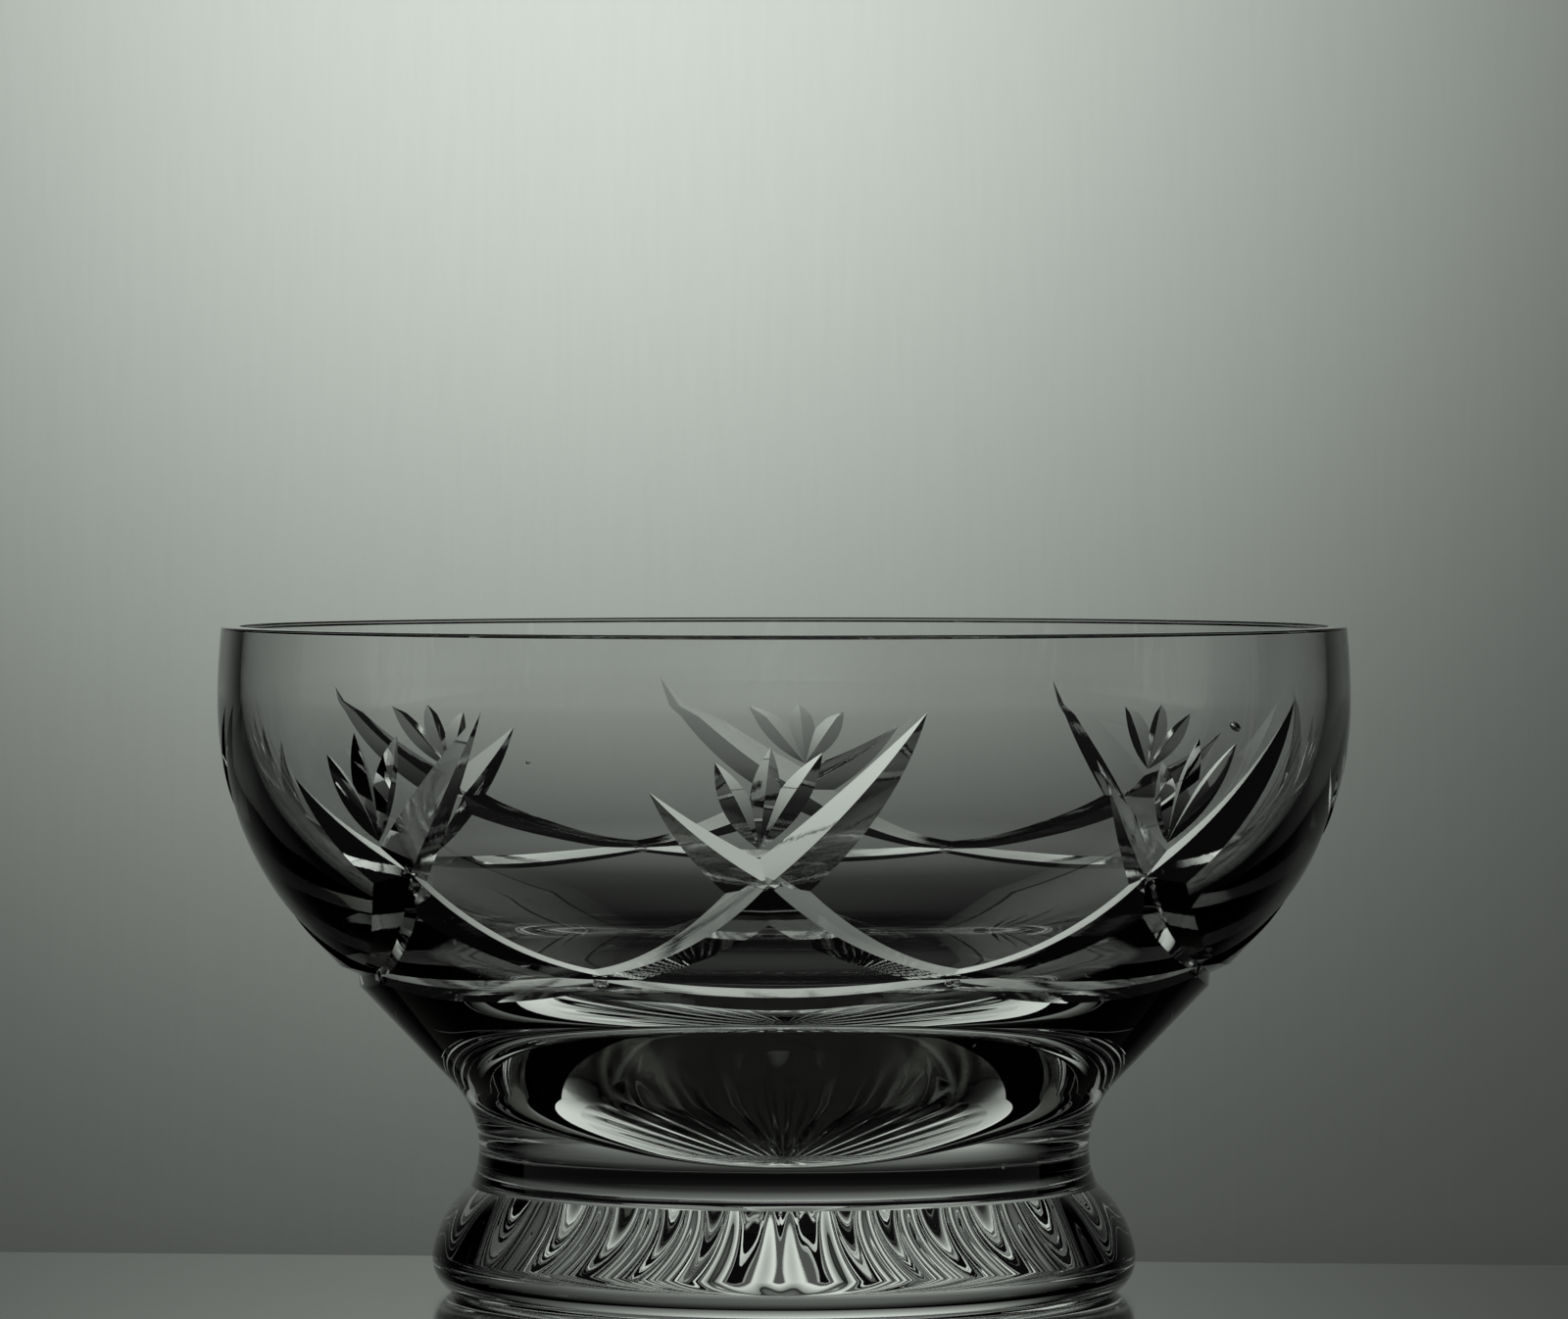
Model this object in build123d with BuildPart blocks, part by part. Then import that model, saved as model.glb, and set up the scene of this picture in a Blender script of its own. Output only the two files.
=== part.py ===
from build123d import *
import math
import os

os.makedirs("parts", exist_ok=True)

# Footed punch bowl of hand-cut crystal: a blown bowl on a solid waist, hot-joined to a cast foot.
# Millimetres and degrees. Origin at the centre of the resting face, +Z up, one cut motif facing -Y.

# heights above the table
rim_height = 136.5
floor_height = 46.0
waist_height = 30.0
seam_height = 22.2
foot_bulge_height = 9.0

# widest places, as drops below the rim
belly_drop = 15.5
inside_drop = 13.5
belly_height = rim_height - belly_drop
inside_height = rim_height - inside_drop

# outside of the bowl
belly_radius = 115.75
lip_draw = 0.8
flank_lean = 43.8
waist_radius = 62.5
waist_curve = 19.3

# outside of the foot
seam_radius = 64.2
foot_bulge_radius = 71.9
foot_bow = 1.3
rest_radius = 67.2

# inside of the bowl
belly_thickness = 4.65
inside_radius = belly_radius - belly_thickness
inside_draw = 0.5
inside_lean = 48.0
floor_radius = 47.5
floor_corner = 15.0
lip_round = 0.5

# ground hollow under the foot
rest_ring_width = 9.0
hollow_depth = 5.0

# mitre cuts, one motif repeated around the bowl; a place on a cut is (drop, turn, depth)
motif_count = 8
motif_angle = 360 / motif_count
groove_angle = 120.0
groove_reach = 7.0
swag_lift = 0.2
run_out = 1.5

swag_low = (67.4, motif_angle / 2, 1.3)
swag_middle = (61.8, 9.9, 2.1)
cross = (49.8, 0.0, 3.6)
long_middle = (33.6, 8.7, 2.7)
long_tip = (16.0, 15.6, 0.0)
short_middle = (40.0, -6.0, 2.25)
short_tip = (29.2, -11.5, 0.0)
band_end = (68.3, motif_angle / 2, 1.0)
band_middle = (71.4, 0.0, 1.1)

leaf_base = (41.0, 0.0, 0.0)
leaf_tips = [(24.3, -5.0, 0.0), (20.5, 0.0, 0.0), (21.2, 5.6, 0.0)]
leaf_depth = 1.7

# The flank leans straight from the waist curve up to the belly curve and touches both.
lean = math.radians(flank_lean)
belly_curve = (
    (belly_height - waist_height) * math.sin(lean) - (belly_radius - waist_radius) * math.cos(lean)
) / (1 - math.cos(lean)) - waist_curve
flank_top_radius = belly_radius - belly_curve * (1 - math.cos(lean))
flank_top_height = belly_height - belly_curve * math.sin(lean)
flank_foot_radius = waist_radius + waist_curve * (1 - math.cos(lean))
flank_foot_height = waist_height + waist_curve * math.sin(lean)

# Inside, the flank leans straight from the floor corner up to a belly curve of its own.
inner_lean = math.radians(inside_lean)
inside_curve = (
    (inside_height - floor_height - floor_corner) * math.sin(inner_lean)
    - (inside_radius - floor_radius) * math.cos(inner_lean)
    + floor_corner
) / (1 - math.cos(inner_lean))


def on_wall(drop, turn, depth):
    """Point sunk below the outside of the bowl at a drop and turn, and the outward direction there."""
    height = rim_height - drop
    if height > flank_top_height:
        tilt = math.asin((belly_height - height) / belly_curve)
        radius = belly_radius - belly_curve * (1 - math.cos(tilt))
    else:
        tilt = lean
        radius = flank_top_radius - math.tan(lean) * (flank_top_height - height)
    outward = Vector(math.cos(tilt), 0, -math.sin(tilt))
    point = Vector(radius, 0, height) - outward * depth
    return point.rotate(Axis.Z, turn - 90), outward.rotate(Axis.Z, turn - 90)


def mirrored(place):
    """The same place on the other side of the motif."""
    drop, turn, depth = place
    return drop, -turn, depth


def groove(start, middle, end, lift=0.0):
    """Solid removed by a mitre wheel along the arc through three places; lift tips the wheel up."""
    middle_point, outward = on_wall(*middle)
    root = ThreePointArc(on_wall(*start)[0], middle_point, on_wall(*end)[0])
    centre_line = Axis(root.arc_center, root.normal())
    along = root.tangent_at(0.5)
    side = along.cross(outward + Vector(0, 0, lift)).normalized()
    section_plane = Plane(origin=root.position_at(0.5), x_dir=side, z_dir=along)
    half_width = groove_reach * math.tan(math.radians(groove_angle / 2))
    opening = math.copysign(groove_reach, section_plane.y_dir.dot(outward))
    section = section_plane * make_face(
        Polyline((0, 0), (half_width, opening), (-half_width, opening), close=True)
    )
    sweep_angle = math.degrees((root.length + 2 * run_out) / root.radius)
    return revolve(section.rotate(centre_line, -sweep_angle / 2), centre_line, sweep_angle)


motif = [
    groove(mirrored(swag_low), mirrored(swag_middle), cross, swag_lift),
    groove(swag_low, swag_middle, cross, swag_lift),
    groove(cross, long_middle, long_tip),
    groove(cross, short_middle, short_tip),
    groove(mirrored(band_end), band_middle, band_end, swag_lift),
]
for tip in leaf_tips:
    leaf_middle = ((leaf_base[0] + tip[0]) / 2, tip[1] / 2, leaf_depth)
    motif.append(groove(leaf_base, leaf_middle, tip))

with BuildPart() as bowl:
    with BuildSketch(Plane.XZ):
        with BuildLine():
            waist = TangentArc(
                (waist_radius, waist_height), (seam_radius, seam_height), tangent=(0, -1)
            )
            waist_turn = TangentArc(
                waist @ 0, (flank_foot_radius, flank_foot_height), tangent=(0, 1)
            )
            flank = Line(waist_turn @ 1, (flank_top_radius, flank_top_height))
            belly = TangentArc(flank @ 1, (belly_radius, belly_height), tangent=flank % 1)
            upper_wall = TangentArc(
                belly @ 1, (belly_radius - lip_draw, rim_height), tangent=belly % 1
            )
            lip_top = Line(upper_wall @ 1, (inside_radius - inside_draw, rim_height))
            TangentArc((inside_radius, inside_height), lip_top @ 1, tangent=(0, 1))
            inside_belly = TangentArc(
                (inside_radius, inside_height),
                (
                    inside_radius - inside_curve * (1 - math.cos(inner_lean)),
                    inside_height - inside_curve * math.sin(inner_lean),
                ),
                tangent=(0, -1),
            )
            inside_flank = Line(
                inside_belly @ 1,
                (
                    floor_radius + floor_corner * math.cos(inner_lean),
                    floor_height + floor_corner * (1 - math.sin(inner_lean)),
                ),
            )
            TangentArc(inside_flank @ 1, (floor_radius, floor_height), tangent=inside_flank % 1)
            Line((floor_radius, floor_height), (0, floor_height))
            Line((0, floor_height), (0, seam_height))
            Line((0, seam_height), waist @ 1)
        section = make_face()
        fillet(section.vertices().group_by(Axis.Y)[-1], radius=lip_round)
    revolve(axis=Axis.Z)
    for cut in motif:
        with PolarLocations(0, motif_count):
            add(cut, mode=Mode.SUBTRACT)
bowl.part.label = "bowl"
export_step(bowl.part, "parts/bowl.step")

hollow_radius = rest_radius - rest_ring_width
hollow_curve = (hollow_radius**2 + hollow_depth**2) / (2 * hollow_depth)

with BuildPart() as foot:
    with BuildSketch(Plane.XZ):
        with BuildLine():
            cushion = SagittaArc(
                (seam_radius, seam_height), (foot_bulge_radius, foot_bulge_height), foot_bow
            )
            TangentArc(cushion @ 1, (rest_radius, 0), tangent=cushion % 1)
            Line((rest_radius, 0), (0, 0))
            Line((0, 0), (0, seam_height))
            Line((0, seam_height), cushion @ 0)
        make_face()
    revolve(axis=Axis.Z)
    with Locations((0, 0, hollow_depth - hollow_curve)):
        Sphere(hollow_curve, mode=Mode.SUBTRACT)
foot.part.label = "foot"
export_step(foot.part, "parts/foot.step")
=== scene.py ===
"""Footed punch bowl of hand-cut lead crystal, with a small photo stage round it."""

import math

import bmesh
import bpy
import numpy as np
from bpy.props import FloatProperty, IntProperty, PointerProperty, StringProperty
from mathutils import Matrix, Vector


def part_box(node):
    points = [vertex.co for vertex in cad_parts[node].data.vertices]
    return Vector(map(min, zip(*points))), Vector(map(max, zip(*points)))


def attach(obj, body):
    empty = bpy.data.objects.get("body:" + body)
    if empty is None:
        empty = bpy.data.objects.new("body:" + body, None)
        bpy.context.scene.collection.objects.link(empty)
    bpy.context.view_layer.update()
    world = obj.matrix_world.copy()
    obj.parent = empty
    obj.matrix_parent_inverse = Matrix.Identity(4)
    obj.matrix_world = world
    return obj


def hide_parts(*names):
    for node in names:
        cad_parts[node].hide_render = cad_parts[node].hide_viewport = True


bl_info = {
    "name": "Cut Crystal Punch Bowl",
    "version": (1, 0, 0),
    "blender": (4, 5, 0),
    "location": "View3D > Sidebar > Punch Bowl",
    "description": "Builds a footed punch bowl of hand-cut lead crystal and a photo stage",
    "category": "Add Mesh",
}

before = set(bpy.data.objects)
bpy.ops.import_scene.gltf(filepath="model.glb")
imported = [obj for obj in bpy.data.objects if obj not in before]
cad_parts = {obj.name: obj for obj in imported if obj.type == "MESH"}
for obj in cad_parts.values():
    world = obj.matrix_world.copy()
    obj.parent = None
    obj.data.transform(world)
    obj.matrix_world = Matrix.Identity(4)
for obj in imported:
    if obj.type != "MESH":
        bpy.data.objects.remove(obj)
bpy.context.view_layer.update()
RIM_HEIGHT = round(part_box("bowl")[1].z, 5)

MM = 0.001

# fixed measures, in mm
WAIST_CURVE = 19.3
FOOT_BULGE_HEIGHT = 9.0
FOOT_BOW = 1.3
# mesh lines around the bowl, and rings of its underside
SEGMENTS = 512
BASE_RINGS = 110
# how a flute deepens from the centre and runs out at its reach: powers of the radius, and a factor that
# makes its deepest place 1.1 times the depth that is set
FLUTE_RISE, FLUTE_FALL, FLUTE_FACTOR = 0.7, 4, 1.8

# The cuts: turn from the front in degrees, height above the table in mm, depth below the wall in mm.
# Stations 0, 1 and 7 and low points 0, 6 and 7 are measured in the photo. The others are not: they stand
# evenly, with small made-up offsets.
CROSS_DEPTH = 3.6
# how far the wheel is tipped up from square to the wall, as a share, for the kinds of cut that need it
WHEEL_LIFT = {"swag_in": 0.2, "swag_out": 0.2, "band": 0.2}
# station turns and cross heights, then the low points of the swags to the right of each station
CROSSES = [
    (0.0, 86.7), (44.6, 86.8), (90.4, 87.1), (134.7, 86.6),
    (180.0, 87.0), (225.3, 86.7), (269.8, 87.2), (317.1, 87.5),
]
LOW_POINTS = [
    (22.6, 69.2), (67.3, 68.8), (112.4, 69.1), (157.6, 69.0),
    (202.6, 69.3), (247.4, 68.9), (297.1, 67.3), (338.7, 69.0),
]
# middle of a cut: its share of the way in turn, its share of the way in height, and its depth
SWAG_MIDDLE, SWAG_LOW_DEPTH = (0.44, 0.684, 2.1), 1.3
LONG_ARM_MIDDLE, SHORT_ARM_MIDDLE, LEAF_MIDDLE = (0.558, 0.48, 2.7), (0.52, 0.43, 2.25), (0.5, 0.5, 1.7)
# where the leaves start: turn from the station, height
LEAF_BASE = (-0.8, 95.6)
# low band: height and depth of its middle, the drop of its ends below the low points, and their depth
BAND_MIDDLE, BAND_DROP, BAND_END_DEPTH = (64.7, 1.6), 0.9, 1.0
# tips of the long arm, short arm and three leaves: (turn from the station, height)
TIPS = {
    0: [(15.3, 121.8), (-11.4, 106.6), (-4.9, 112.3), (0.4, 115.2), (5.3, 114.2)],
    1: [(17.6, 122.6), (-9.9, 107.7), (-3.6, 111.7), (1.3, 116.0), (7.0, 114.8)],
    7: [(14.4, 121.7), (-12.8, 107.7), (-6.3, 112.6), (-1.8, 117.0), (4.2, 116.8)],
}
USUAL_TIPS = [(15.6, 120.9), (-11.5, 107.3), (-5.0, 112.2), (0.0, 116.0), (5.6, 115.3)]
# seeds in the glass: turn in degrees, radius, height, half length and half width in mm, slant in degrees
SEEDS = [
    (51.9, 113.4, 118.0, 1.8, 0.85, -20.0),
    (-23.8, 113.6, 112.0, 0.45, 0.3, 0.0),
    (47.0, 60.5, 29.0, 0.45, 0.35, 0.0),
]


class BowlSizes(bpy.types.PropertyGroup):
    """Blown bowl and solid waist."""

    rim_height: FloatProperty(
        name="Rim height", description="Top of the rim above the table", default=RIM_HEIGHT, unit="LENGTH"
    )
    floor_height: FloatProperty(
        name="Floor height", description="Lowest place inside, above the table", default=0.0277, unit="LENGTH"
    )
    floor_curve: FloatProperty(
        name="Floor curve", description="Radius of the rounded middle of the floor", default=0.0388, unit="LENGTH"
    )
    floor_slope: FloatProperty(
        name="Floor slope", description="Slope of the straight part of the floor", default=math.radians(31),
        subtype="ANGLE",
    )
    shoulder_curve: FloatProperty(
        name="Inside shoulder", description="Radius between floor and inside flank", default=0.129, unit="LENGTH"
    )
    inside_curve: FloatProperty(
        name="Inside belly curve", description="Radius of the inside belly", default=0.0558, unit="LENGTH"
    )
    inside_lean: FloatProperty(
        name="Inside lean", description="Lean of the inside flank", default=math.radians(48), subtype="ANGLE"
    )
    inside_drop: FloatProperty(
        name="Inside drop", description="Widest place inside, below the rim", default=0.0135, unit="LENGTH"
    )
    inside_draw: FloatProperty(
        name="Inside draw", description="How far the inside draws in at the rim", default=0.0005, unit="LENGTH"
    )
    belly_radius: FloatProperty(
        name="Belly radius", description="Widest radius of the bowl", default=0.11575, unit="LENGTH"
    )
    belly_drop: FloatProperty(
        name="Belly drop", description="Widest place below the rim", default=0.0155, unit="LENGTH"
    )
    belly_wall: FloatProperty(
        name="Belly wall", description="Glass thickness at the widest place", default=0.00465, unit="LENGTH"
    )
    lip_draw: FloatProperty(
        name="Lip draw", description="How far the rim draws in from the belly", default=0.0008, unit="LENGTH"
    )
    lip_round: FloatProperty(
        name="Lip rounding", description="Fire-polished radius of the rim", default=0.0005, unit="LENGTH"
    )
    waist_radius: FloatProperty(
        name="Waist radius", description="Narrowest radius, above the foot", default=0.0625, unit="LENGTH"
    )
    waist_height: FloatProperty(
        name="Waist height", description="Narrowest place above the table", default=0.030, unit="LENGTH"
    )
    flank_lean: FloatProperty(
        name="Flank lean", description="Lean of the straight flank", default=math.radians(43.8), subtype="ANGLE"
    )


class FootSizes(bpy.types.PropertyGroup):
    """Cast foot with polished flutes in its hollow underside."""

    seam_height: FloatProperty(
        name="Join height", description="Where the foot was joined on hot", default=0.0222, unit="LENGTH"
    )
    seam_radius: FloatProperty(
        name="Join radius", description="Radius at the hot join", default=0.0642, unit="LENGTH"
    )
    bulge_radius: FloatProperty(
        name="Foot radius", description="Widest radius of the foot", default=0.0719, unit="LENGTH"
    )
    rest_radius: FloatProperty(
        name="Resting radius", description="Outer edge of the resting ring", default=0.0672, unit="LENGTH"
    )
    ring_width: FloatProperty(
        name="Resting ring", description="Width of the ground resting ring", default=0.009, unit="LENGTH"
    )
    hollow_depth: FloatProperty(
        name="Hollow depth", description="Depth of the ground hollow", default=0.005, unit="LENGTH"
    )
    flutes: IntProperty(name="Flutes", description="Polished flutes under the foot", default=24)
    flute_depth: FloatProperty(
        name="Flute depth", description="The deepest place is 1.1 times this", default=0.0006, unit="LENGTH"
    )
    flute_reach: FloatProperty(
        name="Flute reach", description="Where the flutes run out", default=0.050, unit="LENGTH"
    )


class CutSizes(bpy.types.PropertyGroup):
    """Mitre cuts in the wall."""

    groove_angle: FloatProperty(
        name="Mitre angle", description="Angle of the cutting wheel's edge", default=math.radians(120),
        subtype="ANGLE",
    )
    groove_steps: IntProperty(
        name="Steps along a cut", description="Facets along each curved cut", default=48
    )


class CrystalFinish(bpy.types.PropertyGroup):
    """Lead crystal."""

    tint_hex: StringProperty(name="Glass colour", description="sRGB hex colour of the crystal", default="#FFFFFF")
    ior: FloatProperty(name="IOR", description="Refraction of the crystal", default=1.545)


class StageLook(bpy.types.PropertyGroup):
    """Table, backdrop and camera."""

    camera_distance: FloatProperty(
        name="Camera distance", description="From the bowl's axis", default=1.6, unit="LENGTH"
    )
    camera_height: FloatProperty(
        name="Camera height", description="Above the table", default=0.1625, unit="LENGTH"
    )
    camera_turn: FloatProperty(
        name="Camera turn", description="Round the bowl from the front", default=math.radians(1.65), subtype="ANGLE"
    )
    camera_pitch: FloatProperty(
        name="Camera pitch", description="Downward tilt", default=math.radians(1.18), subtype="ANGLE"
    )
    camera_lens: FloatProperty(name="Camera lens", description="Focal length in millimetres", default=179.5)
    table_back: FloatProperty(
        name="Table back edge", description="Behind the bowl's axis", default=0.068, unit="LENGTH"
    )
    table_turn: FloatProperty(
        name="Table turn", description="How far the table stands askew", default=math.radians(-3.4), subtype="ANGLE"
    )
    table_hex: StringProperty(name="Table colour", description="sRGB hex colour of the lacquer", default="#4A4A46")
    backdrop_gap: FloatProperty(
        name="Backdrop distance", description="Behind the bowl's axis", default=0.45, unit="LENGTH"
    )


def srgb(hex_colour):
    """Linear colour from an sRGB hex value."""
    channels = [int(hex_colour[i : i + 2], 16) / 255 for i in (1, 3, 5)]
    return [c / 12.92 if c <= 0.04045 else ((c + 0.055) / 1.055) ** 2.4 for c in channels]


def add_node(tree, kind, links=(), **settings):
    """Adds a node; settings are its properties or input values, links are (input, output socket)."""
    made = tree.nodes.new(kind)
    for key, value in settings.items():
        if hasattr(made, key):
            setattr(made, key, value)
        else:
            made.inputs[key.replace("_", " ")].default_value = value
    for socket, source in links:
        tree.links.new(source, made.inputs[socket])
    return made


# ---- profile ----


class Stretch:
    """One line or arc of the profile: points (radius, height) and the outward normal at each."""

    def __init__(self, points, normals):
        self.points, self.normals = np.array(points), np.array(normals)

    def reversed(self):
        return Stretch(self.points[::-1], self.normals[::-1])


def straight(start, end, side, spacing=2.0):
    start, end = np.array(start, float), np.array(end, float)
    run = end - start
    steps = max(1, math.ceil(np.linalg.norm(run) / spacing))
    t = np.linspace(0, 1, steps + 1)[:, None]
    normal = side * np.array([run[1], -run[0]]) / np.linalg.norm(run)
    return Stretch(start + t * run, np.repeat(normal[None], steps + 1, 0))


def arc_round(centre, radius, first, last, side, spacing=1.0, turn=2.5):
    sweep = abs(last - first)
    steps = max(2, math.ceil(sweep * radius / spacing), math.ceil(sweep / math.radians(turn)))
    angles = np.linspace(first, last, steps + 1)
    out = np.stack([np.cos(angles), np.sin(angles)], 1)
    return Stretch(np.array(centre) + radius * out, side * out)


def leaving(start, end, heading, side):
    """Arc that leaves start along heading and passes through end."""
    start, end, heading = (np.array(v, float) for v in (start, end, heading))
    left = np.array([-heading[1], heading[0]]) / np.linalg.norm(heading)
    run = end - start
    reach = run @ run / (2 * run @ left)
    centre = start + left * reach
    first = math.atan2(*(start - centre)[::-1])
    last = math.atan2(*(end - centre)[::-1])
    if reach > 0 and last < first:
        last += math.tau
    if reach < 0 and last > first:
        last -= math.tau
    return arc_round(centre, abs(reach), first, last, side)


def heading_at_end(stretch):
    """Direction of travel at the end of a stretch."""
    normal, run = stretch.normals[-1], stretch.points[-1] - stretch.points[-2]
    along = np.array([-normal[1], normal[0]])
    return along if along @ run > 0 else -along


def outer_wall(bowl):
    """Belly radius and height, belly curve, and radius and height of the top of the flank, in millimetres."""
    belly_r, belly_z = bowl.belly_radius / MM, (bowl.rim_height - bowl.belly_drop) / MM
    waist_r, waist_z, lean = bowl.waist_radius / MM, bowl.waist_height / MM, bowl.flank_lean
    curve = (
        (belly_z - waist_z) * math.sin(lean) - (belly_r - waist_r) * math.cos(lean)
    ) / (1 - math.cos(lean)) - WAIST_CURVE
    return belly_r, belly_z, curve, (belly_r - curve * (1 - math.cos(lean)), belly_z - curve * math.sin(lean))


def profile(bowl, foot):
    """Stretches from the inner edge of the resting ring, up the outside and down the inside, in millimetres."""
    rim, floor = bowl.rim_height / MM, bowl.floor_height / MM
    belly_r, belly_z, _, flank_top = outer_wall(bowl)
    waist_r, waist_z, lean = bowl.waist_radius / MM, bowl.waist_height / MM, bowl.flank_lean
    flank_foot = (waist_r + WAIST_CURVE * (1 - math.cos(lean)), waist_z + WAIST_CURVE * math.sin(lean))
    seam = (foot.seam_radius / MM, foot.seam_height / MM)
    bulge = (foot.bulge_radius / MM, FOOT_BULGE_HEIGHT)
    rest_r = foot.rest_radius / MM
    ring_r = rest_r - foot.ring_width / MM

    chord = np.subtract(bulge, seam)
    half = np.linalg.norm(chord) / 2
    reach = (half**2 + FOOT_BOW**2) / (2 * FOOT_BOW)
    inward = np.array([chord[1], -chord[0]]) / np.linalg.norm(chord)
    centre = np.add(seam, bulge) / 2 + inward * (reach - FOOT_BOW)
    cushion = arc_round(
        centre, reach, math.atan2(*(seam - centre)[::-1]), math.atan2(*(bulge - centre)[::-1]), 1
    )
    heel = leaving(bulge, (rest_r, 0), heading_at_end(cushion), 1)
    waist_low = leaving((waist_r, waist_z), seam, (0, -1), -1)
    waist_high = leaving((waist_r, waist_z), flank_foot, (0, 1), -1)
    flank = straight(flank_foot, flank_top, 1)
    belly = leaving(flank_top, (belly_r, belly_z), (math.sin(lean), math.cos(lean)), 1)
    upper = leaving((belly_r, belly_z), (belly_r - bowl.lip_draw / MM, rim), (0, 1), 1)

    # inside: belly curve, straight flank, shoulder, sloping floor and its round middle, each touching the next
    tilt, slope = bowl.inside_lean, bowl.floor_slope
    inside_r, inside_z = belly_r - bowl.belly_wall / MM, (bowl.rim_height - bowl.inside_drop) / MM
    inner_curve, shoulder, dish = (v / MM for v in (bowl.inside_curve, bowl.shoulder_curve, bowl.floor_curve))
    wall_in = arc_round((inside_r - inner_curve, inside_z), inner_curve, 0, -tilt, -1)
    dish_in = arc_round((0, floor + dish), dish, slope - math.pi / 2, -math.pi / 2, -1)
    turn = shoulder * np.array([math.cos(tilt) - math.sin(slope), math.cos(slope) - math.sin(tilt)])
    up_floor, down_flank = (math.cos(slope), math.sin(slope)), (-math.sin(tilt), -math.cos(tilt))
    gap = wall_in.points[-1] - dish_in.points[0] - turn
    length = np.linalg.solve(np.column_stack([up_floor, np.negative(down_flank)]), gap)[0]
    if length < 0:
        raise RuntimeError("the floor is too low for its slope")
    floor_top = dish_in.points[0] + length * np.array(up_floor)
    middle = floor_top + shoulder * np.array([-math.sin(slope), math.cos(slope)])
    shoulder_in = arc_round(middle, shoulder, -tilt, slope - math.pi / 2, -1)
    flank_in = straight(wall_in.points[-1], shoulder_in.points[0], 1)
    slope_in = straight(floor_top, dish_in.points[0], 1)
    upper_in = leaving((inside_r, inside_z), (inside_r - bowl.inside_draw / MM, rim), (0, 1), -1)
    upper, outer_round, flat_top, inner_round, upper_in = lip(upper, upper_in, bowl.lip_round / MM)
    return [
        straight((ring_r, 0), (rest_r, 0), 1),
        heel.reversed(),
        cushion.reversed(),
        waist_low.reversed(),
        waist_high,
        flank,
        belly,
        upper,
        outer_round,
        flat_top,
        inner_round,
        upper_in.reversed(),
        wall_in,
        flank_in,
        shoulder_in,
        slope_in,
        dish_in,
    ]


def lip(outside, inside, radius):
    """The walls cut short of the rim, with its two fire-polished rounds and the flat between them."""
    shortened, rounds = [], []
    for wall, towards in ((outside, inside), (inside, outside)):
        corner = wall.points[-1]
        one, other = -heading_at_end(wall), towards.points[-1] - corner
        other = other / np.linalg.norm(other)
        half = math.acos(one @ other) / 2
        cut = radius / math.tan(half)
        centre = corner + (one + other) / np.linalg.norm(one + other) * radius / math.sin(half)
        first, last = corner + one * cut - centre, corner + other * cut - centre
        a, b = math.atan2(first[1], first[0]), math.atan2(last[1], last[0])
        keep = np.linalg.norm(wall.points - corner, axis=1) > cut + 0.05
        keep[-1] = False
        shortened.append(
            Stretch(
                np.vstack([wall.points[keep], corner + one * cut]),
                np.vstack([wall.normals[keep], first / radius]),
            )
        )
        rounds.append(arc_round(centre, radius, a, b, 1, turn=6))
    outer_round, inner_round = rounds[0], rounds[1].reversed()
    flat_top = straight(outer_round.points[-1], inner_round.points[0], 1)
    return shortened[0], outer_round, flat_top, inner_round, shortened[1]


def fluted_base(foot):
    """Underside from near its centre out to the resting ring: rings of points, their normals, and the centre."""
    ring_r, hollow = (foot.rest_radius - foot.ring_width) / MM, foot.hollow_depth / MM
    deep, reach = foot.flute_depth / MM, foot.flute_reach / MM
    ball = (ring_r**2 + hollow**2) / (2 * hollow)
    turn = np.linspace(0, math.tau, SEGMENTS, endpoint=False)
    out, onward = np.stack([np.sin(turn), -np.cos(turn)]), np.stack([np.cos(turn), np.sin(turn)])
    wave = 0.5 + 0.5 * np.cos(foot.flutes * turn)
    wave_slope = -0.5 * foot.flutes * np.sin(foot.flutes * turn)

    def sink(r):
        """Depth of a flute, which starts at the centre and runs out at its reach."""
        return FLUTE_FACTOR * deep * (r / reach) ** FLUTE_RISE * max(0.0, 1 - (r / reach) ** FLUTE_FALL)

    rings, slopes = [], []
    for r in np.linspace(0.8, ring_r, BASE_RINGS):
        height = hollow - ball + math.sqrt(ball**2 - r**2) + sink(r) * wave
        rise = (sink(r + 0.01) - sink(r - 0.01)) / 0.02 * wave - r / math.sqrt(ball**2 - r**2)
        across = rise * out + sink(r) * wave_slope / r * onward
        down = np.stack([*across, np.full(SEGMENTS, -1.0)], 1)
        rings.append(np.stack([*(r * out), height], 1))
        slopes.append(down / np.linalg.norm(down, axis=1)[:, None])
    return rings, slopes, (0, 0, hollow)


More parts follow.
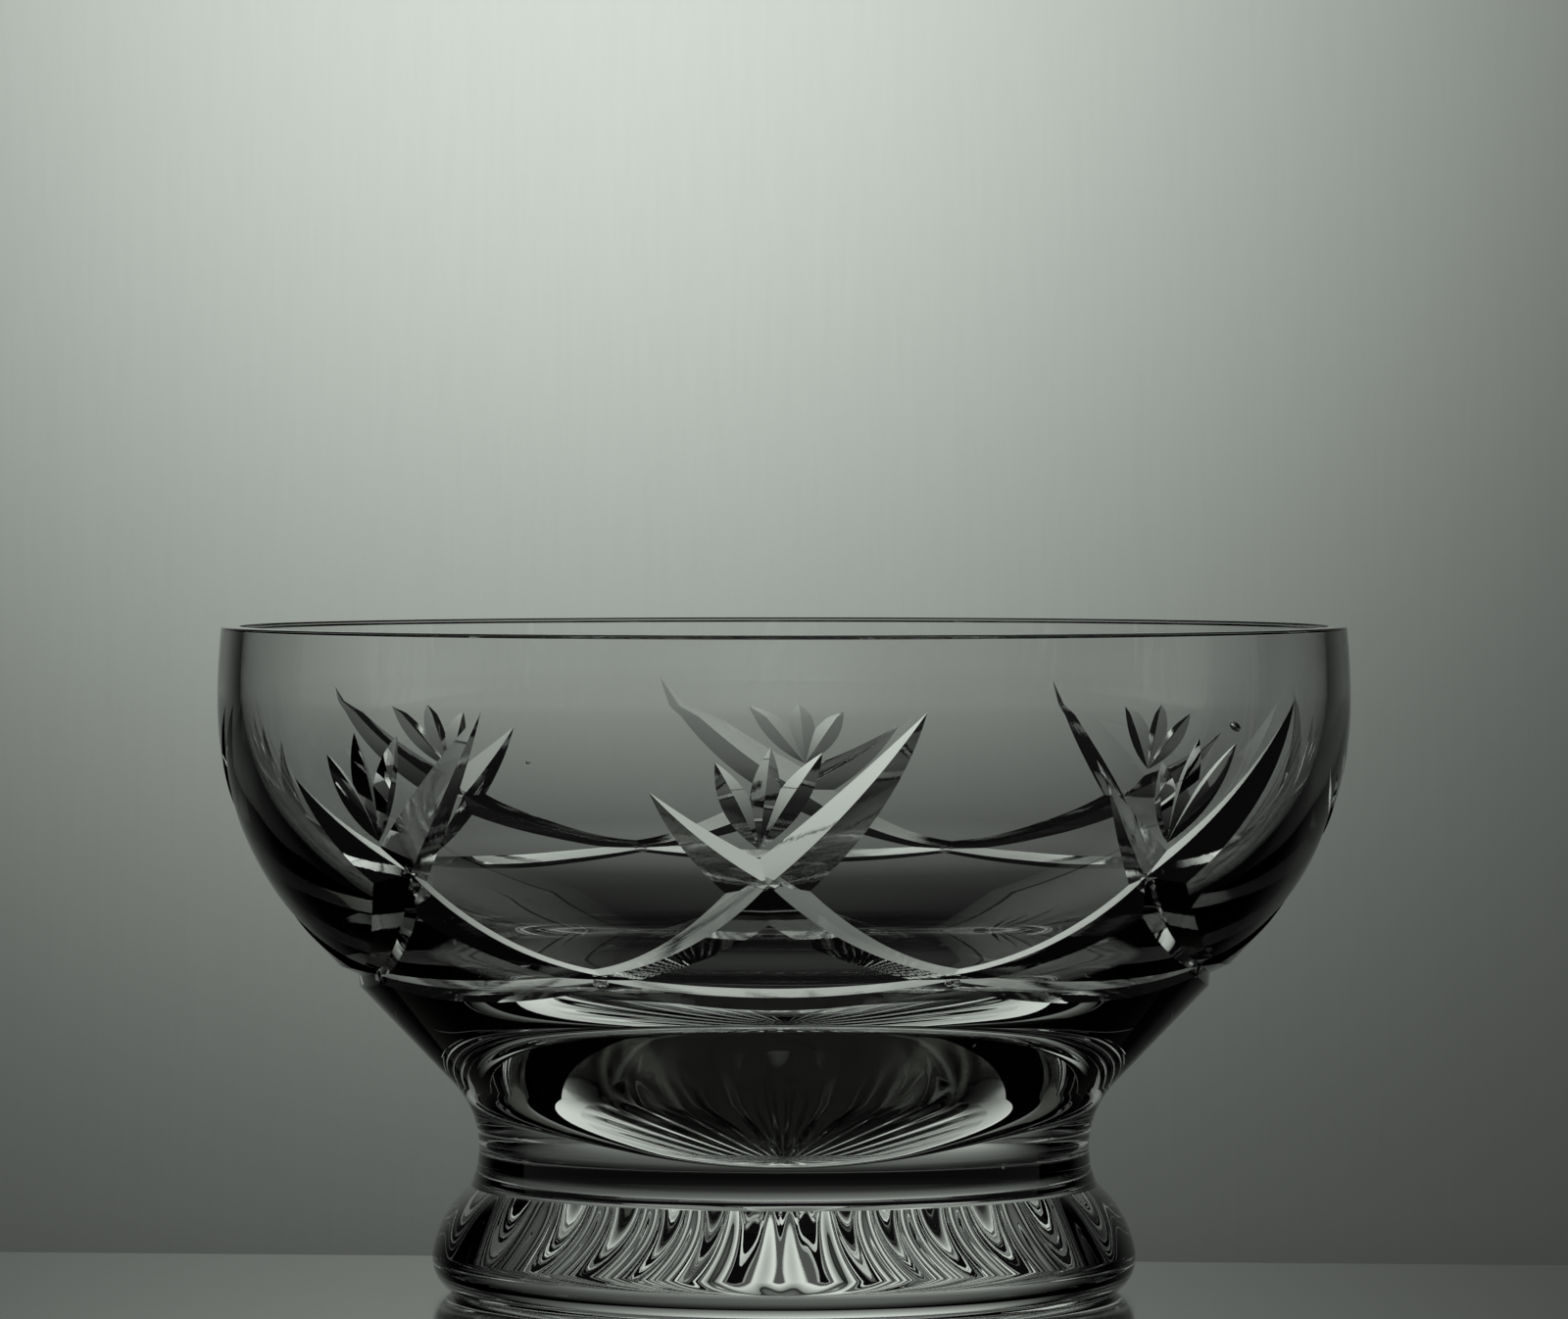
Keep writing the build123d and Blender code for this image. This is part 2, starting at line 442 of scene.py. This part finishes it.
def turned_mesh(name, stretches, base):
    """Closed mesh of revolution on its fluted base, with the exact normal kept at every face corner."""
    angles = np.linspace(0, math.tau, SEGMENTS, endpoint=False)
    around = np.stack([np.sin(angles), -np.cos(angles)], 1)
    rings, slopes, bottom = base
    bands = list(zip(slopes, slopes[1:]))
    for stretch in stretches:
        for i in range(1, len(stretch.points)):
            radius, height = stretch.points[i]
            rings.append(np.column_stack([radius * around, np.full(SEGMENTS, height)]))
            ends = stretch.normals[i - 1 : i + 1]
            bands.append([np.column_stack([n[0] * around, np.full(SEGMENTS, n[1])]) for n in ends])
    top = (0, 0, rings.pop()[0, 2])
    co = np.concatenate([[bottom], *rings, [top]])
    nxt = np.roll(np.arange(SEGMENTS), -1)
    first = lambda i: 1 + i * SEGMENTS
    faces, kept = [], []
    for j in range(SEGMENTS):
        faces.append((0, first(0) + nxt[j], first(0) + j))
        kept += [(0, 0, -1), slopes[0][nxt[j]], slopes[0][j]]
    for i, (below, above) in enumerate(bands[:-1]):
        low, high = first(i), first(i + 1)
        for j in range(SEGMENTS):
            k = nxt[j]
            faces.append((low + j, low + k, high + k, high + j))
            kept += [below[j], below[k], above[k], above[j]]
    low = first(len(rings) - 1)
    for j in range(SEGMENTS):
        faces.append((low + j, low + nxt[j], len(co) - 1))
        kept += [(0, 0, 1)] * 3
    mesh = bpy.data.meshes.new(name)
    mesh.from_pydata((co * MM).tolist(), [], faces)
    keep_vectors(mesh, "polish", kept)
    keep_vectors(mesh, "cut_run", np.zeros((len(kept), 3)))
    return mesh


def keep_vectors(mesh, name, vectors):
    """Stores one vector for each face corner."""
    attribute = mesh.attributes.new(name, "FLOAT_VECTOR", "CORNER")
    attribute.data.foreach_set("vector", np.array(vectors, np.float32).ravel())


# ---- cuts ----


def wall_places(bowl):
    """Function from (turn, height, depth) to a point sunk below the outside, with the outward direction."""
    belly_r, belly_z, curve, (top_r, top_z) = outer_wall(bowl)
    lean = bowl.flank_lean

    def place(turn, height, depth):
        if height > top_z:
            tilt = math.asin(max(-0.3, (belly_z - height) / curve))
            radius = belly_r - curve * (1 - math.cos(tilt))
        else:
            tilt, radius = lean, top_r - math.tan(lean) * (top_z - height)
        a = math.radians(turn)
        outward = np.array([math.sin(a) * math.cos(tilt), -math.cos(a) * math.cos(tilt), -math.sin(tilt)])
        return np.array([radius * math.sin(a), -radius * math.cos(a), height]) - outward * depth, outward

    return place


def groove_mesh(place, run, lift, angle, steps, run_out=1.5, reach=7.0):
    """One mitre cut through three places: corners, faces, and each face corner's normal and place on the cut."""
    (p0, _), (p1, outward), (p2, _) = (place(*p) for p in run)
    u, v = p1 - p0, p2 - p0
    w = np.cross(u, v)
    axis = w / np.linalg.norm(w)
    centre = p0 + (np.cross(w, u) * (v @ v) + np.cross(v, w) * (u @ u)) / (2 * (w @ w))
    radius = np.linalg.norm(p1 - centre)
    angle_of = lambda p: math.atan2(np.cross(p1 - centre, p - centre) @ axis, (p1 - centre) @ (p - centre))
    first, last = angle_of(p0), angle_of(p2)
    extra = math.copysign(run_out / radius, last - first)
    turns = np.linspace(first - extra, last + extra, steps + 1)
    # the wheel stands square to the wall at the middle of the cut, or is tipped up a little from it
    along = np.cross(axis, (p1 - centre) / radius)
    up = outward + np.array([0, 0, lift])
    up -= (up @ along) * along
    up /= np.linalg.norm(up)
    across = np.cross(along, up)
    half = reach * math.tan(angle / 2)
    section = [p1, p1 + up * reach + across * half, p1 + up * reach - across * half]
    aside, down = across * math.cos(angle / 2), up * math.sin(angle / 2)
    cheeks = [aside - down, up, -aside - down]
    width = reach / math.cos(angle / 2)

    def spin(vector, t):
        turned = vector * math.cos(t) + np.cross(axis, vector) * math.sin(t)
        return turned + axis * (axis @ vector) * (1 - math.cos(t))

    co = [centre + spin(p - centre, t) for t in turns for p in section]
    faces, normals, places = [], [], []
    for i in range(steps):
        for a, b, cheek in ((0, 1, 0), (1, 2, 1), (2, 0, 2)):
            faces.append((3 * i + a, 3 * i + b, 3 * i + 3 + b, 3 * i + 3 + a))
            here, there = spin(cheeks[cheek], turns[i]), spin(cheeks[cheek], turns[i + 1])
            normals += [here, here, there, there]
            near, far = (width if a else 0.0), (width if b else 0.0)
            s, t = radius * turns[i], radius * turns[i + 1]
            places += [(s, near, cheek), (s, far, cheek), (t, far, cheek), (t, near, cheek)]
    faces += [(0, 2, 1), (3 * steps, 3 * steps + 1, 3 * steps + 2)]
    normals += [spin(-along, turns[0])] * 3 + [spin(along, turns[-1])] * 3
    places += [(0.0, 0.0, 0.0)] * 6
    return co, faces, normals, places


def wheel_object(name, grooves):
    """The glass that the wheel takes away in like cuts, facing outwards; its kept normals face into the cut."""
    co, faces, normals, places = [], [], [], []
    for number, (points, quads, slopes, runs) in enumerate(grooves):
        base = len(co)
        centre = np.mean(points, 0)
        co += [tuple(p * MM) for p in points]
        volume = sum(
            np.dot(points[q[0]] - centre, np.cross(points[q[i]] - centre, points[q[i + 1]] - centre))
            for q in quads
            for i in range(1, len(q) - 1)
        )
        order = -1 if volume < 0 else 1
        corner = 0
        for q in quads:
            span = slice(corner, corner + len(q))
            corner += len(q)
            faces.append(tuple(base + i for i in q[::order]))
            normals += [tuple(-n) for n in slopes[span][::order]]
            places += [(s, t, 3 * number + side) for s, t, side in runs[span][::order]]
    mesh = bpy.data.meshes.new(name)
    mesh.from_pydata(co, [], faces)
    keep_vectors(mesh, "polish", normals)
    keep_vectors(mesh, "cut_run", places)
    made = bpy.data.objects.new(name, mesh)
    bpy.context.scene.collection.objects.link(made)
    return made


def part_way(start, end, middle):
    """Middle place of the cut between two places."""
    turn_share, height_share, depth = middle
    return start[0] + (end[0] - start[0]) * turn_share, start[1] + (end[1] - start[1]) * height_share, depth


def laid_out_cuts():
    """Every cut by kind: lists of (start, middle, end) places."""
    kinds = {k: [] for k in ("swag_in", "swag_out", "long_arm", "short_arm", "band", "leaf_0", "leaf_1", "leaf_2")}
    for k, (turn, height) in enumerate(CROSSES):
        cross = (turn, height, CROSS_DEPTH)
        right = LOW_POINTS[k]
        left = LOW_POINTS[k - 1] if k else (LOW_POINTS[-1][0] - 360, LOW_POINTS[-1][1])
        for kind, low in (("swag_in", left), ("swag_out", right)):
            kinds[kind].append(((*low, SWAG_LOW_DEPTH), part_way(cross, low, SWAG_MIDDLE), cross))
        long_tip, short_tip, *leaf_tips = [(turn + aside, top, 0.0) for aside, top in TIPS.get(k, USUAL_TIPS)]
        kinds["long_arm"].append((cross, part_way(cross, long_tip, LONG_ARM_MIDDLE), long_tip))
        kinds["short_arm"].append((cross, part_way(cross, short_tip, SHORT_ARM_MIDDLE), short_tip))
        ends = [(low[0], low[1] - BAND_DROP, BAND_END_DEPTH) for low in (left, right)]
        kinds["band"].append((ends[0], (turn, *BAND_MIDDLE), ends[1]))
        base = (turn + LEAF_BASE[0], LEAF_BASE[1], 0.0)
        for n, tip in enumerate(leaf_tips):
            kinds[f"leaf_{n}"].append((base, part_way(base, tip, LEAF_MIDDLE), tip))
    return kinds


# ---- finishes ----


def crystal(name, look, roughness):
    """Lead crystal: water clear, and it bends light strongly enough to mirror in every facet."""
    material = bpy.data.materials.new(name)
    material.use_nodes = True
    shader = material.node_tree.nodes["Principled BSDF"]
    shader.inputs["Base Color"].default_value = (*srgb(look.tint_hex), 1)
    shader.inputs["Transmission Weight"].default_value = 1.0
    shader.inputs["IOR"].default_value = look.ior
    shader.inputs["Roughness"].default_value = roughness
    return material, material.node_tree, shader


def fire_polished_crystal(look):
    """Blown wall, polished in the flame: bright, with the slow waves that the blowing left."""
    material, tree, shader = crystal("fire polished lead crystal", look, 0.0)
    where = add_node(tree, "ShaderNodeTexCoord")
    # waves about 30 mm apart
    waves = add_node(tree, "ShaderNodeTexNoise", [("Vector", where.outputs["Object"])], Scale=33.0, Detail=1.0)
    bump = add_node(tree, "ShaderNodeBump", [("Height", waves.outputs["Fac"])], Strength=1.0, Distance=0.00006)
    tree.links.new(bump.outputs["Normal"], shader.inputs["Normal"])
    return material


def cut_crystal(look):
    """Mitre cuts, acid polished after the wheel: nearly clear, with fine streaks along each cut."""
    material, tree, shader = crystal("wheel cut and acid polished lead crystal", look, 0.02)
    place = add_node(tree, "ShaderNodeAttribute", attribute_name="cut_run")
    # streaks some 12 mm long and 0.6 mm apart; the wheel's own marks are finer than a picture shows
    along = add_node(tree, "ShaderNodeMapping", [("Vector", place.outputs["Vector"])])
    along.inputs["Scale"].default_value = (1 / 12, 1 / 0.6, 7.3)
    streaks = add_node(tree, "ShaderNodeTexNoise", [("Vector", along.outputs[0])], Scale=1.0, Detail=3.0)
    bump = add_node(tree, "ShaderNodeBump", [("Height", streaks.outputs["Fac"])], Strength=1.0, Distance=0.000010)
    tree.links.new(bump.outputs["Normal"], shader.inputs["Normal"])
    return material


# ---- pieces ----


class PUNCHBOWL_OT_blank(bpy.types.Operator):
    """Turn the crystal bowl with its foot and fluted base, before the wall is cut"""

    bl_idname = "punchbowl.blank"
    bl_label = "Crystal Blank"

    def execute(self, context):
        scene = context.scene
        bowl, foot = scene.punch_bowl, scene.punch_foot
        mesh = turned_mesh("crystal_bowl", profile(bowl, foot), fluted_base(foot))
        mesh.materials.append(fire_polished_crystal(scene.punch_finish))
        blank = bpy.data.objects.new("crystal_bowl", mesh)
        scene.collection.objects.link(blank)
        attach(blank, "root")
        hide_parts("bowl", "foot")
        return {"FINISHED"}


class PUNCHBOWL_OT_cuts(bpy.types.Operator):
    """Cut the mitre pattern into the wall of the blank"""

    bl_idname = "punchbowl.cuts"
    bl_label = "Mitre Cuts"

    def execute(self, context):
        scene = context.scene
        blank, cuts = bpy.data.objects["crystal_bowl"], scene.punch_cuts
        cut = cut_crystal(scene.punch_finish)
        place = wall_places(scene.punch_bowl)
        wheels = []
        for kind, runs in laid_out_cuts().items():
            lift = WHEEL_LIFT.get(kind, 0.0)
            grooves = [groove_mesh(place, run, lift, cuts.groove_angle, cuts.groove_steps) for run in runs]
            wheel = wheel_object("wheel_" + kind, grooves)
            wheel.data.materials.append(cut)
            modifier = blank.modifiers.new(kind, "BOOLEAN")
            modifier.operation, modifier.solver, modifier.object = "DIFFERENCE", "MANIFOLD", wheel
            modifier.material_mode = "TRANSFER"
            wheels.append(wheel)
        context.view_layer.update()
        made = bpy.data.meshes.new_from_object(blank.evaluated_get(context.evaluated_depsgraph_get()))
        if len(made.polygons) <= len(blank.data.polygons) // 2:
            raise RuntimeError("the wheels left no glass")
        uncut = blank.data
        blank.modifiers.clear()
        blank.data = made
        bpy.data.meshes.remove(uncut)
        for wheel in wheels:
            bpy.data.meshes.remove(wheel.data)
        made.name = "crystal_bowl"

        # every corner keeps the exact slope of the surface that it lies on; a sliver takes its face's own
        kept = np.zeros((len(made.loops), 3), np.float32)
        made.attributes["polish"].data.foreach_get("vector", kept.ravel())
        kept /= np.maximum(np.linalg.norm(kept, axis=1)[:, None], 1e-9)
        flat = np.zeros((len(made.polygons), 3), np.float32)
        made.polygons.foreach_get("normal", flat.ravel())
        totals = np.zeros(len(made.polygons), np.int32)
        made.polygons.foreach_get("loop_total", totals)
        flat = np.repeat(flat, totals, 0)
        wrong = (kept * flat).sum(1) < 0.9
        kept[wrong] = flat[wrong]
        made.polygons.foreach_set("use_smooth", [True] * len(made.polygons))
        made.normals_split_custom_set(kept.tolist())
        made.attributes.remove(made.attributes["polish"])
        return {"FINISHED"}


class PUNCHBOWL_OT_seeds(bpy.types.Operator):
    """Trap a few seeds, small drawn-out air bubbles, in the crystal"""

    bl_idname = "punchbowl.seeds"
    bl_label = "Seeds"

    def execute(self, context):
        scene = context.scene
        inside = bmesh.new()
        for turn, radius, height, half_length, half_width, slant in SEEDS:
            size = Matrix.Diagonal((half_length, half_width, half_width, 1))
            place = (
                Matrix.Rotation(math.radians(turn), 4, "Z")
                @ Matrix.Translation((0, -radius * MM, height * MM))
                @ Matrix.Rotation(math.radians(-slant), 4, "Y")
                @ size
            )
            bmesh.ops.create_uvsphere(inside, u_segments=32, v_segments=20, radius=MM, matrix=place)
        # the glass is outside a seed, so its faces look inwards
        bmesh.ops.reverse_faces(inside, faces=inside.faces)
        for face in inside.faces:
            face.smooth = True
        mesh = bpy.data.meshes.new("seed_bubbles")
        inside.to_mesh(mesh)
        inside.free()
        mesh.materials.append(bpy.data.materials["fire polished lead crystal"])
        seeds = bpy.data.objects.new("seed_bubbles", mesh)
        scene.collection.objects.link(seeds)
        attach(seeds, "root")
        return {"FINISHED"}


# ---- stage ----

# painted pool of light glowing on the backdrop, fitted to the background in the photo: degrees seen from the
# camera, and levels
POOL_ASIDE, POOL_RISE, POOL_REACH, POOL_WIDTH, POOL_FALL = -1.487, 5.4, 14.4, 7.2, 2.224
POOL_EDGE, POOL_PEAK, POOL_TINT, POOL_NARROWING = 0.0447, 0.6506, (0.975, 1.056, 0.969), 1.08


def box_object(name, low, high, turn):
    """Plain box of the stage, turned about the bowl's axis."""
    made = bmesh.new()
    bmesh.ops.create_cube(made, size=1.0)
    low, high = np.array(low), np.array(high)
    for v in made.verts:
        v.co = (low + high) / 2 + np.array(v.co) * (high - low)
    mesh = bpy.data.meshes.new(name)
    made.to_mesh(mesh)
    made.free()
    piece = bpy.data.objects.new(name, mesh)
    piece.rotation_euler.z = turn
    bpy.context.scene.collection.objects.link(piece)
    return piece


def ramp(tree, factor, stops):
    """Colour ramp through (position, grey or colour) stops."""
    made = add_node(tree, "ShaderNodeValToRGB", [("Fac", factor)])
    elements = made.color_ramp.elements
    for position, _ in stops[1:-1]:
        elements.new(position)
    for element, (position, colour) in zip(elements, stops):
        element.position = position
        element.color = (*colour, 1) if hasattr(colour, "__len__") else (colour, colour, colour, 1)
    return made.outputs["Color"]


def lacquered_board(colour):
    """Rubbed lacquer: dark from above, and a soft mirror where it is seen along its surface."""
    material = bpy.data.materials.new("rubbed lacquer board")
    material.use_nodes = True
    tree = material.node_tree
    shader = tree.nodes["Principled BSDF"]
    shader.inputs["Metallic"].default_value = 1.0
    facing = add_node(tree, "ShaderNodeLayerWeight", Blend=0.5)
    dark = srgb(colour)
    # its mirror strength at a low angle is set to the tone in the photo, and isn't that of a known lacquer
    mirror = ramp(tree, facing.outputs["Facing"], [(0.0, dark), (0.6, dark), (0.88, 0.62), (1.0, 0.8)])
    tree.links.new(mirror, shader.inputs["Base Color"])
    # rubbing marks about 3 mm apart along the board
    where = add_node(tree, "ShaderNodeTexCoord")
    along = add_node(tree, "ShaderNodeMapping", [("Vector", where.outputs["Object"])])
    along.inputs["Scale"].default_value = (20, 330, 1)
    marks = add_node(tree, "ShaderNodeTexNoise", [("Vector", along.outputs[0])], Scale=1.0, Detail=2.0)
    rough = add_node(tree, "ShaderNodeMapRange", [("Value", marks.outputs["Fac"])])
    rough.inputs["To Min"].default_value, rough.inputs["To Max"].default_value = 0.10, 0.14
    tree.links.new(rough.outputs[0], shader.inputs["Roughness"])
    return material


def painted_light_backdrop(stage, top):
    """Matt paper backdrop hung close behind the table. It is no lamp but glows with one painted soft pool of light,
    which dies away below, in a painted shadow of the table, and at the sides.
    """
    material = bpy.data.materials.new("backdrop with painted pool of light")
    material.use_nodes = True
    tree = material.node_tree
    tree.nodes.clear()
    where = add_node(tree, "ShaderNodeTexCoord")
    gap = stage.backdrop_gap
    degree = (stage.camera_distance + gap) * math.radians(1)
    pool = add_node(tree, "ShaderNodeMapping", [("Vector", where.outputs["Object"])], vector_type="TEXTURE")
    pool.inputs["Location"].default_value = (POOL_ASIDE * degree - gap * math.tan(stage.camera_turn), gap, top)
    pool.inputs["Scale"].default_value = (POOL_REACH * degree / POOL_NARROWING, 1, POOL_REACH * degree)
    fall = add_node(tree, "ShaderNodeTexGradient", [("Vector", pool.outputs[0])], gradient_type="SPHERICAL")
    stops = []
    for k in range(25):
        level = POOL_EDGE + POOL_PEAK * math.exp(-(((1 - k / 24) * POOL_REACH / POOL_WIDTH) ** POOL_FALL))
        stops.append((k / 24, [level * tint for tint in POOL_TINT]))
    light = ramp(tree, fall.outputs["Fac"], stops)
    split = add_node(tree, "ShaderNodeSeparateXYZ", [("Vector", where.outputs["Object"])])
    # heights -0.30 to 0.10 m: the painted light darkens to a painted shadow of the table where the paper runs down
    # behind it
    low = add_node(tree, "ShaderNodeMapRange", [("Value", split.outputs["Z"])])
    low.inputs["From Min"].default_value, low.inputs["From Max"].default_value = -0.30, 0.10
    height = ramp(
        tree, low.outputs[0],
        [(0.0, 0.0), (0.35, 0.05), (0.57, 0.5), (0.65, 0.93), (0.69, 1.0), (1.0, 1.0)],
    )
    # painted fall-off of the light towards the sides
    wide = add_node(tree, "ShaderNodeMath", [(0, split.outputs["X"])], operation="ABSOLUTE")
    side = add_node(tree, "ShaderNodeMapRange", [("Value", wide.outputs[0])], interpolation_type="SMOOTHSTEP")
    side.inputs["From Min"].default_value, side.inputs["From Max"].default_value = 0.24, 0.52
    side.inputs["To Min"].default_value, side.inputs["To Max"].default_value = 1.0, 0.0
    painted_shadow_and_falloff = add_node(tree, "ShaderNodeMath", [(0, height), (1, side.outputs[0])], operation="MULTIPLY")
    # faint upright grain, about 1.5 mm across and 25 mm long
    stretch = add_node(tree, "ShaderNodeMapping", [("Vector", where.outputs["Object"])])
    stretch.inputs["Scale"].default_value = (650, 1, 40)
    grain = add_node(tree, "ShaderNodeTexNoise", [("Vector", stretch.outputs[0])], Scale=1.0, Detail=2.0)
    grain = add_node(tree, "ShaderNodeMapRange", [("Value", grain.outputs["Fac"])])
    grain.inputs["To Min"].default_value, grain.inputs["To Max"].default_value = 0.975, 1.025
    strength = add_node(tree, "ShaderNodeMath", [(0, painted_shadow_and_falloff.outputs[0]), (1, grain.outputs[0])], operation="MULTIPLY")
    # the glow is painted light: the pool, the table's shadow and the fall-off at the sides are all in its strength
    glow = add_node(tree, "ShaderNodeEmission", [("Color", light), ("Strength", strength.outputs[0])])
    # from behind, the paper is cleared away
    face = add_node(tree, "ShaderNodeNewGeometry")
    clear = add_node(tree, "ShaderNodeBsdfTransparent")
    both = add_node(
        tree, "ShaderNodeMixShader",
        [(0, face.outputs["Backfacing"]), (1, glow.outputs[0]), (2, clear.outputs[0])],
    )
    add_node(tree, "ShaderNodeOutputMaterial", [("Surface", both.outputs[0])])
    return material


def studio_world():
    """Dark studio with a soft light high behind the bowl, and a pale pool at each other side for other views."""
    world = bpy.data.worlds.new("studio")
    world.use_nodes = True
    tree = world.node_tree
    tree.nodes.clear()
    direction = add_node(tree, "ShaderNodeTexCoord")
    split = add_node(tree, "ShaderNodeSeparateXYZ", [("Vector", direction.outputs["Generated"])])
    turn = add_node(tree, "ShaderNodeMath", [(0, split.outputs["X"]), (1, split.outputs["Y"])], operation="ARCTAN2")
    turn = add_node(tree, "ShaderNodeMath", [(0, turn.outputs[0])], operation="ABSOLUTE")
    rise = add_node(tree, "ShaderNodeMath", [(0, split.outputs["Z"])], operation="ARCSINE")
    flat = add_node(tree, "ShaderNodeCombineXYZ", [("X", turn.outputs[0]), ("Y", rise.outputs[0])])

    def glow(centre, reach, colour, sigma):
        """Soft pool of light in degrees of turn and rise; it falls off as a bell curve that ends at the reach."""
        pool = add_node(tree, "ShaderNodeMapping", [("Vector", flat.outputs[0])], vector_type="TEXTURE")
        pool.inputs["Location"].default_value = (*(math.radians(v) for v in centre), 0)
        pool.inputs["Scale"].default_value = (*(math.radians(v) for v in reach), 1)
        fall = add_node(tree, "ShaderNodeTexGradient", [("Vector", pool.outputs[0])], gradient_type="SPHERICAL")
        stops = [
            (1 - r, [c * math.exp(-((r * sigma) ** 2)) for c in colour])
            for r in (1.0, 0.81, 0.66, 0.5, 0.375, 0.25, 0.125, 0.0)
        ]
        return ramp(tree, fall.outputs["Fac"], stops)

    above = glow((0, 26), (50, 20), (0.70, 0.74, 0.70), 1.6)
    beside = glow((90, 5), (34, 20), (0.42, 0.45, 0.42), 1.9)
    behind = glow((180, 5), (34, 20), (0.42, 0.45, 0.42), 1.9)
    pools = add_node(tree, "ShaderNodeMixRGB", [(1, beside), (2, behind)], blend_type="ADD")
    pools.inputs[0].default_value = 1.0
    ray = add_node(tree, "ShaderNodeLightPath")
    seen = add_node(
        tree, "ShaderNodeMath", [(0, ray.outputs["Is Camera Ray"]), (1, ray.outputs["Is Transmission Ray"])],
        operation="MAXIMUM",
    )
    whole = add_node(
        tree, "ShaderNodeMixRGB", [(0, seen.outputs[0]), (1, above), (2, pools.outputs[0])], blend_type="ADD"
    )
    shade = add_node(tree, "ShaderNodeBackground", [("Color", whole.outputs[0])])
    add_node(tree, "ShaderNodeOutputWorld", [("Surface", shade.outputs[0])])
    return world


class PUNCHBOWL_OT_stage(bpy.types.Operator):
    """Set the table, the glowing backdrop, the studio light and the camera"""

    bl_idname = "punchbowl.stage"
    bl_label = "Stage"

    def execute(self, context):
        scene, stage = context.scene, context.scene.punch_stage
        slab = box_object("table", (-1.2, -1.0, -0.02), (1.2, stage.table_back, 0), stage.table_turn)
        slab.data.materials.append(lacquered_board(stage.table_hex))

        gap = stage.backdrop_gap
        top = stage.camera_height + (stage.camera_distance + gap) * math.tan(math.radians(POOL_RISE))
        board = bpy.data.meshes.new("backdrop")
        corners = [(-1.2, gap, -0.6), (1.2, gap, -0.6), (1.2, gap, 0.6), (-1.2, gap, 0.6)]
        board.from_pydata(corners, [], [(0, 1, 2, 3)])
        board.materials.append(painted_light_backdrop(stage, top))
        board = bpy.data.objects.new("backdrop", board)
        scene.collection.objects.link(board)
        scene.world = studio_world()

        camera = bpy.data.cameras.new("photo_camera")
        camera.lens, camera.sensor_width = stage.camera_lens, 36
        camera.clip_start, camera.clip_end = 0.05, 20
        eye = bpy.data.objects.new("photo_camera", camera)
        scene.collection.objects.link(eye)
        away, turn_by = stage.camera_distance, stage.camera_turn
        eye.location = (away * math.sin(turn_by), -away * math.cos(turn_by), stage.camera_height)
        eye.rotation_euler = (math.pi / 2 - stage.camera_pitch, 0, turn_by)
        scene.camera = eye
        scene.view_settings.view_transform = "Standard"
        return {"FINISHED"}


class PUNCHBOWL_PT_panel(bpy.types.Panel):
    """Sizes and buttons for each piece of the punch bowl"""

    bl_label = "Punch Bowl"
    bl_idname = "PUNCHBOWL_PT_panel"
    bl_space_type = "VIEW_3D"
    bl_region_type = "UI"
    bl_category = "Punch Bowl"

    def draw(self, context):
        for operator, groups in PIECES:
            box = self.layout.box()
            for name in groups:
                sizes = getattr(context.scene, name)
                for size in GROUPS[name].__annotations__:
                    box.prop(sizes, size)
            box.operator(operator.bl_idname)


GROUPS = {
    "punch_bowl": BowlSizes,
    "punch_foot": FootSizes,
    "punch_cuts": CutSizes,
    "punch_finish": CrystalFinish,
    "punch_stage": StageLook,
}
PIECES = [
    (PUNCHBOWL_OT_blank, ("punch_bowl", "punch_foot", "punch_finish")),
    (PUNCHBOWL_OT_cuts, ("punch_cuts",)),
    (PUNCHBOWL_OT_seeds, ()),
    (PUNCHBOWL_OT_stage, ("punch_stage",)),
]
CLASSES = (*GROUPS.values(), *(operator for operator, _ in PIECES), PUNCHBOWL_PT_panel)


def register():
    for cls in CLASSES:
        bpy.utils.register_class(cls)
    for name, group in GROUPS.items():
        setattr(bpy.types.Scene, name, PointerProperty(type=group))


def unregister():
    for name in GROUPS:
        delattr(bpy.types.Scene, name)
    for cls in reversed(CLASSES):
        bpy.utils.unregister_class(cls)


def main():
    register()
    bpy.ops.punchbowl.blank()
    bpy.ops.punchbowl.cuts()
    bpy.ops.punchbowl.seeds()
    bpy.ops.punchbowl.stage()


if __name__ == "__main__":
    main()
